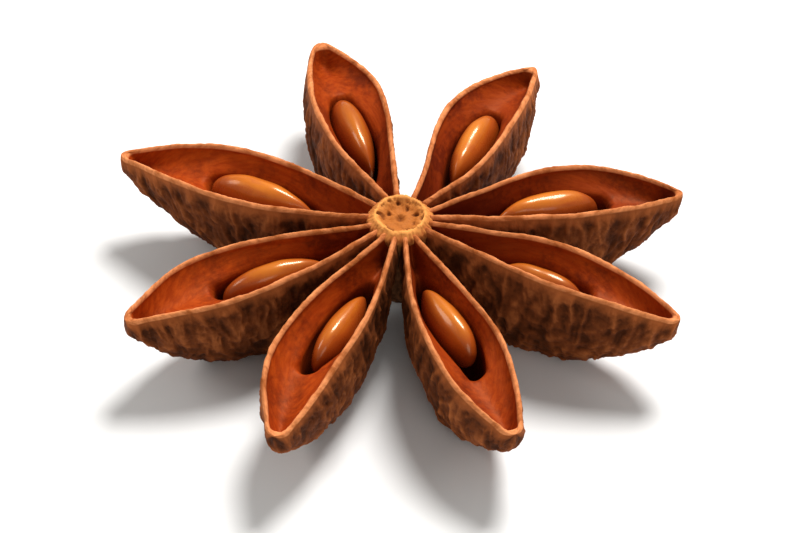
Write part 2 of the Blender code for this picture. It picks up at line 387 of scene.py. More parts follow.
@dataclass(frozen=True)
class Carpel:
    """One boat-shaped segment of the star, split open along its top. Lengths in mm, angles in degrees.

    The fields are those of the pod's solids: azimuth from +X towards +Y, reach from axis to beak,
    half the widest opening and where it lies, how drawn out the beak is, half the opening that is
    left at its tip, the sideways bend and S-shaped curl of the middle line, the lean of the opening
    and the keel's depth. Then come how dark the lining is, from 0 to 1, and the seed's seat.
    """

    azimuth: float
    reach: float
    gape: float
    fullest: float
    drawn: float
    tip: float
    bend: float
    curl: float
    lean: float
    keel: float
    tone: float
    seat: Seat

    # Stations along, crowded to the beak, points round each half, and a seed's rows and columns.
    STATIONS = 210
    CROWDED = 1.2
    LAST = 0.9985
    OUTER = 60
    BRIM = 12
    INNER = 36
    EASED = 14
    SEED_ROWS = 72
    SEED_COLUMNS = 64
    SEED_POLE = 0.02
    FLOW_APART = 20.0
    SEED_FLOW_APART = 9.0

    def half_gape(self, t: Array) -> Array:
        """Half the distance between the lips' crests: t^p (1 - t) over its peak, and the tip's own."""
        power = self.fullest / (1.0 - self.fullest)
        peak = self.fullest ** power * (1.0 - self.fullest)
        share = t ** power * (1.0 - t) / peak
        opening = self.gape * share ** np.where(t > self.fullest, self.drawn, 1.0)
        return np.hypot(opening, self.tip * smooth_step(t, self.fullest, 1.0))

    def seed_place(self) -> float:
        """Place of the seed's middle along the carpel, as a share of the reach."""
        return SIZES.seed_place + self.seat.shift / self.reach

    def keel_depth(self, t: Array) -> Array:
        """Depth from lips to keel: a parabola to the deepest place, then a power to the beak."""
        to_root = np.clip((SIZES.deepest - t) / SIZES.deepest, 0.0, 1.0)
        to_beak = np.clip((t - SIZES.deepest) / (1.0 - SIZES.deepest), 0.0, 1.0)
        lost = (1.0 - SIZES.root_depth) * to_root ** 2
        lost = lost + (1.0 - SIZES.beak_depth) * to_beak ** SIZES.keel_power
        return self.keel * (1.0 - lost)

    @staticmethod
    def slit_open(t: Array) -> Array:
        """One where the carpel is split, easing to nothing inside the column and at the beak."""
        return smooth_step(t, *SIZES.slit_opens) * (1.0 - smooth_step(t, *SIZES.slit_closes))

    def valley_depth(self, t: Array) -> Array:
        """Depth of the valley between the two split faces: deeper by the column than at the beak."""
        past = smooth_step(t, self.seed_place(), self.seed_place() + SIZES.ramp_run)
        depth = SIZES.slit_depth + (SIZES.ramp_depth - SIZES.slit_depth) * past
        depth = np.minimum(depth, self.keel_depth(t) - SIZES.keel_wall)
        return SIZES.groove + (depth - SIZES.groove) * self.slit_open(t)

    def room_along(self, t: Array) -> Array:
        """Place along the seed's room, from -1 at its end by the column to 1 at its outer end."""
        half = 0.5 * SIZES.seed_size[0] * self.seat.size
        place = (t - self.seed_place()) * self.reach
        gap = np.where(place < 0.0, SIZES.room_gap[0], self.seat.slack)
        return np.clip(place / (half + gap), -1.0, 1.0)

    def room_girth(self, t: Array) -> Array:
        """Girth of the seed's room: the seed's own, drawn out to the column, steep to the beak."""
        along = self.room_along(t)
        return seed_breadth(along) * (1.0 - smooth_step(along, *SIZES.room_closes))

    def aside(self, t: Array) -> Array:
        """Sideways place of the seed's middle line from the lips' one, while it is beside the seed."""
        place = (t - self.seed_place()) * self.reach
        return (self.seat.side + tan(radians(self.seat.turn)) * place) * self.room_girth(t)

    def room_width(self, t: Array) -> Array:
        """Half the width of the seed's room: the seed's, a gap, and a share of its sideways place."""
        half = 0.5 * SIZES.seed_size[1] * self.seat.size + SIZES.room_gap[1]
        return half * self.room_girth(t) + (1.0 - SIZES.room_follow) * np.abs(self.aside(t))

    def cavity_depth(self, t: Array) -> Array:
        """Depth of the whole cavity: the valley, and the seed's room sunk into it."""
        valley = self.valley_depth(t)
        deepest = np.minimum(SIZES.room_depth, self.keel_depth(t) - SIZES.keel_wall)
        sunk = smooth_step(1.0 - np.abs(self.room_along(t)), 0.0, SIZES.room_slope)
        return valley + np.maximum(deepest - valley, 0.0) * sunk

    def lip_height(self, t: Array) -> Array:
        """Height of the lips over the floor: an arch over the droop towards the beak."""
        return SIZES.lip_plane + SIZES.arch * np.sin(pi * t) - SIZES.droop * t * t

    def sideways(self, t: Array) -> Array:
        """Sideways place of the lips' middle: half a sine wave of bend and a whole one of curl."""
        return self.bend * np.sin(pi * t) + self.curl * np.sin(2.0 * pi * t)

    def heading(self, t: float) -> float:
        """Angle of the middle line to the straight line from column to beak, in radians."""
        slope = self.bend * cos(pi * t) + 2.0 * self.curl * cos(2.0 * pi * t)
        return atan(pi * slope / self.reach)

    def lean_at(self, t: Array) -> Array:
        """Lean of the opening in radians, growing from nothing at the column."""
        return radians(self.lean) * smooth_step(t, *SIZES.lean_over)

    def half_ring(self, t: Array) -> tuple[Array, Array, dict[str, Array]]:
        """Half of the section at each station, from keel over the lip to the cavity's bottom.

        The outer wall is a quarter of a bulged ellipse and the lip half of a flattened one. Inside,
        the split face falls in a curve to the valley's bottom, and the seed's room is as wide as the
        seed and a gap; the wider of the two counts, rounded by the fourth root of fourth powers.

        Args:
            t: Column of places along the carpel, as shares of the reach.

        Returns:
            Sideways and upward places from the lips' middle, and masks, stations by points.
        """
        outer = self.half_gape(t) + SIZES.lip_out
        inner = np.maximum(self.half_gape(t) - SIZES.lip_in, SIZES.least_inside * outer)
        cavity = self.cavity_depth(t)
        brim = np.minimum(SIZES.lip, 0.5 * cavity)

        down = np.linspace(0.5 * pi, 0.0, self.OUTER)[None, :]
        swell = 1.0 + SIZES.outer_bulge * np.sin(2.0 * down)
        wall_x = outer * np.cos(down) ** SIZES.outer_round * swell
        wall_z = -SIZES.lip - (self.keel_depth(t) - SIZES.lip) * np.sin(down)
        wall_x[:, 0] = 0.0

        over = np.linspace(0.0, pi, self.BRIM + 2)[None, 1:-1]
        half = 0.5 * (outer - inner)
        edge = np.where(over < 0.5 * pi, SIZES.lip, brim)
        lip_x = outer - half + half * np.sign(np.cos(over)) * np.abs(np.cos(over)) ** SIZES.lip_round
        lip_z = -edge * (1.0 - np.sin(over))

        into = np.linspace(0.0, 1.0, self.INNER)[None, :]
        valley = np.maximum(self.valley_depth(t) - brim, SIZES.least_valley)
        sunk = np.maximum(cavity - brim - valley, 0.0)
        drop = valley * np.sin(0.5 * pi * into) + sunk * smooth_step(into, *SIZES.room_sinks)
        share = np.minimum(drop / (valley + sunk), 1.0)
        face = inner * (1.0 - np.minimum(drop / valley, 1.0) ** SIZES.face_power) ** 0.5
        swell = SIZES.room_throat + (1.0 - SIZES.room_throat) * np.sin(pi * share)
        room = self.room_width(t) * swell * np.sqrt(1.0 - share ** SIZES.room_bottom)
        room_x = ease_rows(np.minimum((face ** 4 + room ** 4) ** 0.25, inner), self.EASED)
        room_z = ease_rows(-brim - drop, self.EASED)
        room_x[:, -1] = 0.0

        side = np.concatenate((wall_x, lip_x, room_x), axis=1)
        rise = np.concatenate((wall_z, lip_z, room_z), axis=1)
        skinned = np.ones_like(lip_x) * (over < SIZES.skin_ends)
        outside = np.concatenate((np.ones_like(wall_x), skinned, np.zeros_like(room_x)), axis=1)
        lip = 1.0 - smooth_step(-rise, *SIZES.lip_band)
        # shoulder: 1 at the lip, fading down the flank; it paints light on the upper flank.
        shoulder = 1.0 - smooth_step(-rise, *SIZES.shoulder_band)
        above = np.zeros((len(t), self.OUTER + self.BRIM))
        # depth: how far down the seed's room a point lies; the lining's painted shade follows it.
        depth = np.concatenate((above, -room_z / SIZES.room_depth), axis=1)
        return side, rise, {"outside": outside, "lip": lip, "shoulder": shoulder, "depth": depth}

    def place(self, t: Array, side: Array, rise: Array, level: Array | None = None) -> Array:
        """Put section points into the pod's frame: lean, bend, lift and turn to the azimuth.

        Args:
            t: Places along the carpel, as shares of the reach.
            side: Sideways places from the lips' middle, positive to the left.
            rise: Upward places from the lips' middle.
            level: Places whose lean, bend and lift count, where these aren't those of t.

        Returns:
            Points in mm in the pod's frame.
        """
        level = t if level is None else level
        lean = self.lean_at(level)
        across = side * np.cos(lean) + rise * np.sin(lean) + self.sideways(level)
        height = rise * np.cos(lean) - side * np.sin(lean) + self.lip_height(level)
        along = self.reach * t + 0.0 * side
        points = turn_z(np.stack((along, across, height), axis=-1), radians(self.azimuth))
        return points + np.array((*SIZES.axis, 0.0))

    def skin(self, number: int) -> Skin:
        """Whole surface of the carpel: mirrored half sections, warped, wrinkled and cut at the floor.

        Args:
            number: The carpel's number, which shifts its wrinkles.

        Returns:
            The closed grid with its masks.
        """
        run = np.linspace(0.0, self.LAST, self.STATIONS)[:, None]
        t = 1.0 - (1.0 - SIZES.root) * (1.0 - run) ** self.CROWDED
        half_x, half_z, masks = self.half_ring(t)
        share = np.clip((t - SIZES.beak_round) / (1.0 - SIZES.beak_round), 0.0, 1.0)
        close = np.sqrt(1.0 - share * share)

        def mirrored(values: Array, sign: float = 1.0) -> Array:
            """Both halves of the ring: left from keel to cavity, right back to the keel."""
            return np.concatenate((values, sign * values[:, -2:0:-1]), axis=1)

        side = mirrored(half_x, -1.0) * close
        rise = mirrored(half_z) * close
        masks = {key: mirrored(values) for key, values in masks.items()}
        side = side + SIZES.room_follow * self.aside(t) * smooth_step(masks["depth"], *SIZES.follow_band)
        points = warp(self.place(t, side, rise))

        steps = np.hypot(np.diff(half_x, axis=1), np.diff(half_z, axis=1))
        walked = np.concatenate((np.zeros_like(t), np.cumsum(steps, axis=1)), axis=1)
        along = self.reach * t + 0.0 * side
        flow = np.stack((along, mirrored(walked), side + self.FLOW_APART * number), axis=-1)

        relief = self.relief(flow, masks)
        dents = RELIEF.dents * WARP.at(points / RELIEF.dent_span + 50.0)
        calm = smooth_step(-rise, *SIZES.calm_band) * smooth_step(close, *RELIEF.beak_calm)
        wrinkles = RELIEF.wrinkles * (relief - RELIEF.wrinkle_level)
        height = masks["outside"] * (wrinkles + dents) * calm
        height += masks["lip"] * RELIEF.nicks * FINE.fractal(flow * RELIEF.nick_fineness, 4, 0.7)
        lining = (1.0 - masks["outside"]) * (1.0 - masks["lip"])
        height += lining * RELIEF.streaks * FINE.fractal(flow * RELIEF.streak_fineness, 2)
        points = points + grid_normals(points) * height[..., None]
        points[..., 2] = np.maximum(points[..., 2], 0.0)
        # heel is 1 by the column and fades out by the seed's middle: the lining is darkened by it as
        # painted shade in the narrow slit, and the lips grow browner by it.
        heel = 1.0 - smooth_step(t, *SIZES.heel_band) + 0.0 * side
        masks.update(relief=relief, heel=heel, tone=np.full_like(side, self.tone))
        return Skin(points, masks, flow)

    @staticmethod
    def relief(flow: Array, masks: dict[str, Array]) -> Array:
        """Wrinkles of the dried skin: slanting ridges down from the lip, a net of weaker ones, and
        finer crumpling.

        Args:
            flow: Places on the surface: along, around and side, in mm.
            masks: The ring's masks, of which lip calms the wrinkles.

        Returns:
            Relief, from 0 in the creases to about 1 on the crests.
        """
        bent = flow.copy()
        bent[..., 0] += RELIEF.bend_along[0] * FINE.at(flow / RELIEF.bend_along[1])
        bent[..., 1] += RELIEF.bend_around[0] * FINE.at(flow / RELIEF.bend_around[1] + 31.0)
        slanted = bent.copy()
        slanted[..., 0] -= RELIEF.slant * bent[..., 1]
        value = RELIEF.ribs * WRINKLES.fractal(slanted * RELIEF.rib_fineness, 2, 0.55, True)
        value += RELIEF.net * WRINKLES.fractal(bent * RELIEF.net_fineness + 7.0, 2, 0.6, True)
        crumple = FINE.fractal(bent * RELIEF.crumple_fineness, 4, 0.65)
        value += RELIEF.crumple * (crumple - RELIEF.crumple_level)
        return value * (1.0 - RELIEF.lip_calm * masks["lip"])

    def seed_skin(self, number: int) -> Skin:
        """Flattened oval seed on its edge: an ellipsoid with a blunt outer end and a narrow hilum.

        Args:
            number: The carpel's number, which shifts the seed's unevenness.

        Returns:
            The closed grid with its masks.
        """
        angle = np.linspace(self.SEED_POLE, pi - self.SEED_POLE, self.SEED_ROWS)[:, None]
        turned = np.linspace(0.0, 2.0 * pi, self.SEED_COLUMNS, endpoint=False)[None, :]
        along = -np.cos(angle)
        length, thick, tall = (0.5 * self.seat.size * size for size in SIZES.seed_size)
        x = length * along + 0.0 * turned
        y = thick * seed_breadth(along) * np.cos(turned)
        z = tall * seed_rise(along) * np.sin(turned)
        flow = np.stack((x, y, z + self.SEED_FLOW_APART * number), axis=-1)
        dent, dent_span = RELIEF.seed_dents
        dimple, dimple_span = RELIEF.seed_dimples
        swell = 1.0 + dent * FINE.at(flow / dent_span) + dimple * FINE.at(flow / dimple_span + 5.0)
        y, z = y * swell, z * swell
        turn = self.heading(self.seed_place()) + radians(self.seat.turn)
        local = turn_z(np.stack((x, y, z), axis=-1), turn)
        t = self.seed_place() + local[..., 0] / self.reach
        side = local[..., 1] + self.seat.side
        rise = local[..., 2] - SIZES.seed_drop + self.seat.lift
        points = self.place(t, side, rise, np.full_like(t, self.seed_place()))
        hilum = 1.0 - smooth_step(along + 0.0 * turned, *SIZES.hilum_band)
        # back: 1 along the seed's top and bottom edges, 0 on its flanks; the coat paints light there and
        # shade on the flanks.
        back = np.abs(np.sin(turned)) ** 1.5 * np.sqrt(np.maximum(1.0 - along * along, 0.0))
        masks = {"hilum": hilum, "back": back, "tone": np.full_like(back, self.seat.tone)}
        return Skin(warp(points), masks, flow)


CARPELS = (
    Carpel(106.1, 17.3, 2.05, 0.62, 1.0, 0.45, 0.1, 0.12, -3.0, 7.15, 0.25,
           Seat(0.94, 0.9, 0.0, 0.0, 6.0, 0.4, 0.55)),
    Carpel(60.6, 16.6, 2.0, 0.59, 1.0, 0.2, 0.1, -0.35, 2.0, 6.85, 0.6,
           Seat(0.94, 0.75, -0.1, 0.0, -2.0, 0.35, 0.0)),
    Carpel(12.5, 16.8, 2.05, 0.63, 1.1, 0.25, 0.25, -0.25, 1.0, 7.2, 0.75,
           Seat(1.0, 0.6, 0.0, 0.0, 0.0, 0.8, 0.1)),
    Carpel(-23.0, 17.2, 1.65, 0.61, 1.0, 0.25, 0.25, -0.12, 6.5, 6.8, 0.5,
           Seat(0.86, 0.4, -0.25, -0.1, 0.0, 0.4, 0.65)),
    Carpel(-67.9, 16.9, 1.9, 0.61, 1.0, 0.4, -0.3, -0.08, 0.0, 7.2, 0.25,
           Seat(0.84, -0.6, 0.2, 0.3, 6.0, 1.6, 0.2)),
    Carpel(-113.7, 17.25, 1.95, 0.61, 1.0, 0.45, -0.5, 0.25, 0.0, 7.0, 0.0,
           Seat(0.87, -0.15, 0.3, 0.1, 2.0, 0.9, 0.2)),
    Carpel(-156.1, 17.15, 1.98, 0.62, 1.15, 0.35, -0.05, 0.25, 0.0, 7.2, 0.0,
           Seat(0.96, -0.45, 0.15, 0.0, 0.0, 0.6, 0.45)),
    Carpel(157.1, 17.75, 2.0, 0.56, 1.05, 0.3, 0.05, 0.2, 1.0, 6.9, 0.05,
           Seat(1.03, 0.1, 0.0, 0.0, 0.0, 0.35, 0.05)),
)


# ---- column
@dataclass(frozen=True)
class Column:
    """Short column in the middle: a rim round a pitted dish with a ring-shaped boss and a scar in
    its middle, a hub, and the broken stalk's stub. Sizes in mm, heights from the lips' plane. The
    noises that run round the axis are read on a unit circle, in steps by their fineness.
    """

    rim_top: float = 0.30
    rim_radius: float = 1.45
    rim_width: float = 0.24
    dish_depth: float = 0.50
    dish_edge: float = 0.86
    radius: float = 1.85
    collar: float = 1.95
    hub_radius: float = 2.80
    hub_drop: float = 3.90
    foot: float = 5.10
    stalk_radius: float = 1.10
    stalk_end: float = 6.10
    tip: float = 0.02
    crest_width: float = 0.20
    boss_radius: float = 0.36
    boss_width: float = 0.16
    scar_width: float = 0.20
    scar_depth: float = 0.8
    top_band: Pair = (0.9, 0.5)
    pit_band: Pair = (0.05, 0.60)
    stub_band: Pair = (1.6, 2.4)
    low_band: Pair = (5.2, 6.9)
    grain_span: float = 0.36
    pit_span: float = 0.44
    stub_span: float = 0.8
    lumps: float = 0.16
    boss: float = 0.10
    pit: float = 0.20
    stub: float = 0.10
    loop: float = 0.07
    rim_fibres: float = 0.03
    rim_grain: float = 0.08
    dish_fibres: float = 0.05
    dish_grain: float = 0.12
    side_fibres: float = 0.035
    side_grain: float = 0.03
    fibre_fineness: float = 7.5
    fibre_start: float = 0.35
    lump_fineness: float = 1.6
    loop_fineness: float = 0.9
    circle_rise: float = 0.25
    rows: int = 150
    columns: int = 220

    def profile(self) -> Array:
        """Smooth run of radius and height from the dish's middle over the rim to the stalk's end.

        Returns:
            The points, rows by 2.
        """
        rim = SIZES.lip_plane + self.rim_top
        foot = SIZES.lip_plane - self.foot
        dish = ((0.30, 0.98), (0.60, 0.80), (self.dish_edge, 0.36), (1.0, 0.0))
        knots = np.array((
            (self.tip, rim - self.dish_depth),
            *((place * self.rim_radius, rim - depth * self.dish_depth) for place, depth in dish),
            (self.rim_radius + self.rim_width, rim - 0.20),
            (self.collar, rim - 0.52),
            (self.radius, rim - 1.20),
            (self.radius, rim - 2.00),
            (self.hub_radius, SIZES.lip_plane - self.hub_drop),
            (0.5 * (self.radius + self.stalk_radius), foot),
            (self.stalk_radius, foot - 0.25),
            (0.9 * self.stalk_radius, SIZES.lip_plane - self.stalk_end),
            (self.tip, SIZES.lip_plane - self.stalk_end + 0.12),
        ))
        return smooth_run(knots, self.rows)

    def skin(self) -> Skin:
        """Profile turned round the axis, with a nicked rim, a pitted dish and a torn stalk end.

        Returns:
            The closed grid with its masks.
        """
        line = self.profile()
        radius, height = line[:, 0][:, None], line[:, 1][:, None]
        angle = -np.linspace(0.0, 2.0 * pi, self.columns, endpoint=False)[None, :]
        x, y = radius * np.cos(angle), radius * np.sin(angle)
        z = height + 0.0 * angle
        flow = np.stack((x, y, z), axis=-1)
        rim = SIZES.lip_plane + self.rim_top
        top = smooth_step(z, rim - self.top_band[0], rim - self.top_band[1])
        crest = np.exp(-((radius - self.rim_radius) / self.crest_width) ** 2) * top
        dish = (1.0 - smooth_step(radius, self.dish_edge * self.rim_radius, self.rim_radius)) * top
        boss = np.exp(-((radius - self.boss_radius) / self.boss_width) ** 2) * top
        scar = np.exp(-(radius / self.scar_width) ** 2) * top
        grain = FINE.fractal(flow / self.grain_span, 3, 0.6)
        pits = smooth_step(FINE.at(flow / self.pit_span + 3.0), *self.pit_band)
        pits = np.maximum(pits * dish * (1.0 - boss), self.scar_depth * scar)
        level = 0.0 * z
        circle = np.stack((np.cos(angle) + level, np.sin(angle) + level, self.circle_rise * z), axis=-1)
        fibres = FINE.fractal(self.fibre_fineness * circle, 2, ridged=True)
        fibres = fibres * smooth_step(radius, self.fibre_start * self.rim_radius, self.rim_radius)
        lumps = FINE.fractal(self.lump_fineness * circle + 8.0, 3)
        lift = crest * (self.lumps * lumps + self.rim_fibres * (fibres - 0.5) + self.rim_grain * grain)
        lift = lift + self.boss * boss - self.pit * pits
        lift = lift + dish * (self.dish_grain * grain + self.dish_fibres * fibres)
        torn = 1.0 - smooth_step(z, *self.stub_band)
        lift = lift + torn * self.stub * FINE.fractal(flow / self.stub_span, 3)
        points = flow + grid_normals(flow) * lift[..., None]
        swell = 1.0 + (1.0 - dish) * (self.side_fibres * (fibres - 0.5) + self.side_grain * grain)
        loop = 1.0 + self.loop * top * FINE.at(self.loop_fineness * circle + 24.0)
        points[..., :2] *= (swell * loop)[..., None]
        masks = {"rim": crest, "dish": dish, "pits": pits, "relief": 0.7 * fibres + 0.3 * grain,
                 "low": 1.0 - smooth_step(z, *self.low_band)}
        return Skin(points + np.array((*SIZES.axis, 0.0)), masks, flow)


def smooth_run(knots: Array, count: int) -> Array:
    """Even run of points on a smooth line through knots (Catmull-Rom, evenly spaced by length).

    Args:
        knots: Points to pass through, n by 2.
        count: How many points to return.

    Returns:
        The points, count by 2.
    """
    padded = np.concatenate((knots[:1], knots, knots[-1:]))
    s = np.linspace(0.0, 1.0, 24, endpoint=False)[:, None]
    pieces = []
    for a, b, c, d in zip(padded, padded[1:], padded[2:], padded[3:]):
        pieces.append(0.5 * (2.0 * b + (c - a) * s + (2.0 * a - 5.0 * b + 4.0 * c - d) * s ** 2
                             + (3.0 * b - a - 3.0 * c + d) * s ** 3))
    line = np.concatenate((*pieces, knots[-1:]))
    walked = np.concatenate(([0.0], np.cumsum(np.linalg.norm(np.diff(line, axis=0), axis=1))))
    even = np.linspace(0.0, walked[-1], count)
    return np.stack([np.interp(even, walked, line[:, k]) for k in range(line.shape[1])], axis=-1)


# ---- materials
class Nodes:
    """The shader nodes of a tree, with short ways to add and join them."""

    def __init__(self, tree: Tree) -> None:
        """Keep the tree that the nodes go into."""
        self.tree = tree

    def add(self, kind: str, settings: dict | None = None, **inputs) -> bpy.types.Node:
        """Add a node, set its properties, and fill its inputs.

        Args:
            kind: Node type without the ShaderNode prefix.
            settings: Properties of the node.
            **inputs: Input sockets by name.

        Returns:
            The new node.
        """
        node = self.tree.nodes.new("ShaderNode" + kind)
        for name, value in (settings or {}).items():
            setattr(node, name, value)
        self.fill(node, **inputs)
        return node

    def fill(self, node: bpy.types.Node, **inputs) -> None:
        """Fill inputs by name, with underscores for spaces."""
        for name, value in inputs.items():
            self.feed(node.inputs[name.replace("_", " ")], value)

    def feed(self, socket: Socket, value) -> None:
        """Link a socket to an input, or set the input's own value."""
        if isinstance(value, Socket):
            self.tree.links.new(value, socket)
        elif isinstance(value, tuple) and len(value) == 3 and socket.type == "RGBA":
            socket.default_value = (*value, 1.0)
        else:
            socket.default_value = value

    def mask(self, name: str) -> Socket:
        """The value of one of the piece's own point attributes."""
        return self.add("Attribute", {"attribute_name": name}).outputs["Fac"]

    def flow(self) -> Socket:
        """The piece's own surface coordinates in mm: along, around and side."""
        return self.add("Attribute", {"attribute_name": "flow"}).outputs["Vector"]

    def math(self, operation: str, a, b=0.0, clamp: bool = False) -> Socket:
        """One calculation on two values."""
        node = self.add("Math", {"operation": operation, "use_clamp": clamp})
        self.feed(node.inputs[0], a)
        self.feed(node.inputs[1], b)
        return node.outputs[0]

    def times(self, a, b) -> Socket:
        """One value times another."""
        return self.math("MULTIPLY", a, b)

    def plus(self, a, b) -> Socket:
        """The sum of two values, kept between 0 and 1."""
        return self.math("ADD", a, b, True)

    def mix(self, factor, a, b) -> Socket:
        """Colour between a and b by a factor."""
        node = self.add("Mix", {"data_type": "RGBA"})
        for place, value in ((0, factor), (6, a), (7, b)):
            self.feed(node.inputs[place], value)
        return node.outputs[2]

    def span(self, value, low: float, high: float, to_low=0.0, to_high=1.0) -> Socket:
        """Map a value from one span to another, clamped."""
        return self.add("MapRange", Value=value, From_Min=low, From_Max=high, To_Min=to_low,
                        To_Max=to_high).outputs["Result"]

    def stretch(self, vector, scale: Triple) -> Socket:
        """Coordinates stretched along the axes."""
        return self.add("Mapping", Vector=vector, Scale=scale).outputs["Vector"]

    def noise(self, place, scale, settings: dict | None = None, **inputs) -> Socket:
        """Values of a noise texture, its scale in cells to a metre of place or a mm of flow."""
        return self.add("TexNoise", settings, Vector=place, Scale=scale, **inputs).outputs[0]

    def group(self, tree: Tree, **inputs) -> bpy.types.NodeOutputs:
        """The outputs of a node group, placed with its inputs filled."""
        return self.add("Group", {"node_tree": tree}, **inputs).outputs

    def bump(self, height, strength: float, distance: float) -> Socket:
        """Normals of a surface with this height, at a distance in mm."""
        return self.add("Bump", Strength=strength, Distance=distance * MM, Height=height).outputs[0]


def new_group(name: str, inputs: tuple[str, ...], outputs: tuple[str, ...]) -> tuple[Nodes, list, list]:
    """New node group; its first input is a vector, its other sockets are values.

    Args:
        name: Its name.
        inputs: Names of its inputs.
        outputs: Names of its outputs.

    Returns:
        Its nodes, the sockets that bring the inputs, and those that take the outputs.
    """
    tree = bpy.data.node_groups.new(name, "ShaderNodeTree")
    for number, label in enumerate(inputs):
        kind = "NodeSocketFloat" if number else "NodeSocketVector"
        tree.interface.new_socket(label, in_out="INPUT", socket_type=kind)
    for label in outputs:
        tree.interface.new_socket(label, in_out="OUTPUT", socket_type="NodeSocketFloat")
    source = tree.nodes.new("NodeGroupInput")
    result = tree.nodes.new("NodeGroupOutput")
    return Nodes(tree), source.outputs[:len(inputs)], result.inputs[:len(outputs)]


@cache
def mottle_group() -> Tree:
    """Uneven colour of dried plant skin: broad blotches and fine specks added up, as Mask."""
    net, (place, blotches, specks), (mask,) = new_group(
        "mottle", ("Vector", "Blotch Scale", "Speck Scale"), ("Mask",))
    blotch = net.noise(place, blotches, Detail=3.0)
    speck = net.noise(place, specks, Detail=4.0, Roughness=0.65)
    both = net.math("ADD", net.times(blotch, 0.6), net.times(speck, 0.4))
    net.feed(mask, net.span(both, 0.36, 0.64))
    return net.tree


@cache
def streak_group() -> Tree:
    """Fine fibres along the surface: noise drawn out along the first coordinate, as Mask and Height."""
    net, (place, fineness), (mask, height) = new_group(
        "fibre_streaks", ("Vector", "Fineness"), ("Mask", "Height"))
    fibres = net.noise(net.stretch(place, (0.16, 1.0, 1.0)), fineness, Detail=5.0, Roughness=0.6)
    net.feed(mask, net.span(fibres, 0.38, 0.62))
    net.feed(height, fibres)
    return net.tree


@cache
def wrinkle_group() -> Tree:
    """Fine wrinkles of dry skin: sharp-crested noise drawn out across the first coordinate, as Mask
    and Height.
    """
    net, (place, fineness), (mask, height) = new_group(
        "fine_wrinkles", ("Vector", "Fineness"), ("Mask", "Height"))
    ridged = {"noise_type": "RIDGED_MULTIFRACTAL", "normalize": True}
    folds = net.noise(net.stretch(place, (1.0, 0.42, 0.5)), fineness, ridged, Detail=3.0,
                      Roughness=0.55, Distortion=0.35)
    net.feed(mask, net.span(folds, 0.25, 0.75))
    net.feed(height, folds)
    return net.tree


@dataclass(frozen=True)
class HuskFinish:
    """Dry brown skin outside, satin orange-brown lining inside, pale fibrous lips between them."""

    # skin_dark, skin_mid and skin_pale run from painted shade in the creases to painted light on the
    # crests.
    skin_dark: Colour = (0.044, 0.011, 0.004)
    skin_mid: Colour = (0.145, 0.036, 0.010)
    skin_pale: Colour = (0.365, 0.108, 0.031)
    # shoulder: painted light on the skin's upper flank.
    shoulder: Colour = (0.400, 0.106, 0.028)
    lining: Colour = (0.265, 0.026, 0.002)
    # lining_dark: blotches and per-carpel tone, and painted shade towards the column.
    lining_dark: Colour = (0.110, 0.010, 0.002)
    lining_pale: Colour = (0.420, 0.059, 0.005)
    # pit: painted shade deep in the seed's room.
    pit: Colour = (0.080, 0.010, 0.002)
    lip_pale: Colour = (0.760, 0.268, 0.098)
    lip_brown: Colour = (0.370, 0.100, 0.026)
    gleam: Colour = (1.0, 0.42, 0.14)

    def material(self) -> Material:
        """Build the husk's material from its masks.

        Returns:
            The material.
        """
        material, net, shader = new_material("husk")
        place = net.add("TexCoord").outputs["Object"]
        flow = net.flow()
        patchy = net.group(mottle_group(), Vector=place, Blotch_Scale=420.0, Speck_Scale=2600.0)[0]
        fibre = net.group(streak_group(), Vector=flow, Fineness=2.6)
        folds = net.group(wrinkle_group(), Vector=flow, Fineness=2.3)
        outside, lip = net.mask("outside"), net.mask("lip")

        # Painted shade and light: the skin is darker in the creases and paler on the crests of the
        # relief, broken up by blotches and fine wrinkles.
        relief = net.math("ADD", net.mask("relief"), net.span(patchy, 0.0, 1.0, -0.20, 0.20))
        relief = net.math("ADD", relief, net.span(folds["Mask"], 0.0, 1.0, -0.12, 0.20))
        skin = net.mix(net.span(relief, 0.12, 0.48), self.skin_dark, self.skin_mid)
        skin = net.mix(net.span(relief, 0.46, 0.92), skin, self.skin_pale)
        # Painted light: the skin is lighter and more orange near the lip, darker further down the flank.
        edge = net.math("ADD", net.mask("shoulder"), net.span(relief, 0.0, 1.0, -0.35, 0.15))
        skin = net.mix(net.span(edge, 0.0, 1.0, 0.0, 0.80), skin, self.shoulder)

        lining = net.mix(net.span(fibre["Mask"], 0.0, 1.0, 0.15, 0.80), self.lining, self.lining_pale)
        # Lining darker by its blotches, by the carpel's tone, and towards the column by the heel mask;
        # the heel part is painted shade in the narrow, deep slit.
        mottle_and_painted_shade = net.plus(net.span(patchy, 0.40, 1.0, 0.0, 0.65), net.times(net.mask("heel"), 0.45))
        mottle_and_painted_shade = net.plus(mottle_and_painted_shade, net.times(net.mask("tone"), 0.75))
        lining = net.mix(mottle_and_painted_shade, lining, self.lining_dark)
        # Painted shade: the lining darkens to the pit colour deeper in the seed's room.
        lining = net.mix(net.span(net.mask("depth"), 0.30, 0.75), lining, self.pit)

        beads = net.noise(net.stretch(flow, (1.0, 0.3, 0.3)), 1.1, Detail=6.0)
        worn = net.times(net.span(beads, 0.40, 0.66), net.span(patchy, 0.0, 0.8, 0.30, 0.90))
        worn = net.plus(worn, net.span(fibre["Mask"], 0.3, 1.0, 0.0, 0.45))
        worn = net.plus(worn, net.times(net.mask("heel"), 0.30))
        lips = net.mix(worn, self.lip_pale, self.lip_brown)
        colour = net.mix(net.span(lip, 0.35, 0.80), net.mix(outside, lining, skin), lips)

        rough = net.plus(net.span(outside, 0.0, 1.0, 0.52, 0.86), net.times(lip, 0.2))
        grain = net.noise(place, 3800.0, Detail=5.0, Roughness=0.65)
        dry = net.math("ADD", net.times(grain, 0.6), folds["Height"])
        satin = net.times(fibre["Height"], 0.35)
        height = net.span(net.math("MAXIMUM", outside, lip), 0.0, 1.0, satin, dry)
        net.fill(shader, Base_Color=colour, Roughness=rough, Specular_IOR_Level=0.22,
                 Specular_Tint=self.gleam, Normal=net.bump(height, 0.7, 0.12))
        return material


